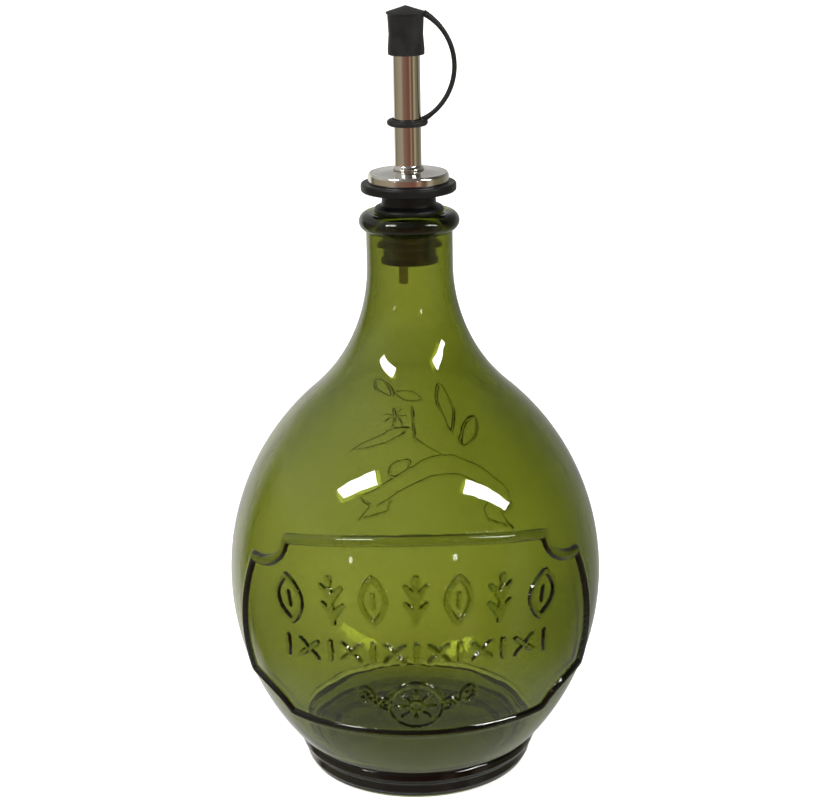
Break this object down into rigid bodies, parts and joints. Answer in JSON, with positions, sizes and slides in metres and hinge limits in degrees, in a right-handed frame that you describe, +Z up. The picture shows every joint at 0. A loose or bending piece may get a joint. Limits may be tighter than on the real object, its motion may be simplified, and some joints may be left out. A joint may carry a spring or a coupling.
{
  "type": "oil bottle with pourer",
  "caption": "Round green glass oil bottle with a raised label frame, a long neck, and a rubber-stoppered steel pourer with a tethered dust cap.",
  "frame": {"origin": "centre of the foot, on the surface that the bottle stands on", "axes": "+Z up along the bottle's axis; -Y is the front, with the label frame; +X is the side that the cap's strap bows out to"},
  "size_m": [0.126, 0.126, 0.2574],
  "materials": {
    "green_glass": "clear olive-green pressed glass, glossy",
    "black_rubber": "moulded black rubber, satin",
    "polished_steel": "polished stainless steel",
    "dull_steel": "drawn steel tube, dull",
    "cap_rubber": "moulded charcoal rubber, satin"
  },
  "bodies": {
    "bottle_body": {"bottle": "green_glass"},
    "pourer_body": {"stopper": "black_rubber", "spout_disc": "polished_steel", "spout_tube": "polished_steel", "air_tube": "dull_steel"},
    "ring_body": {"cap_ring": "cap_rubber"},
    "cap_body": {"dust_cap": "cap_rubber", "cap_strap": "cap_rubber"}
  },
  "joints": [
    {"name": "pourer_pull", "type": "slide", "parent": "bottle_body", "child": "pourer_body", "axis": [0, 0, 1], "range_m": [0, 0.025]},
    {"name": "ring_turn", "type": "hinge", "parent": "pourer_body", "child": "ring_body", "pos_m": [0, 0, 0.2207], "axis": [0, 0, 1], "continuous": true},
    {"name": "cap_pull", "type": "slide", "parent": "ring_body", "child": "cap_body", "axis": [0, 0, 1], "range_m": [0, 0.012], "deforming": ["cap_strap"]}
  ]
}
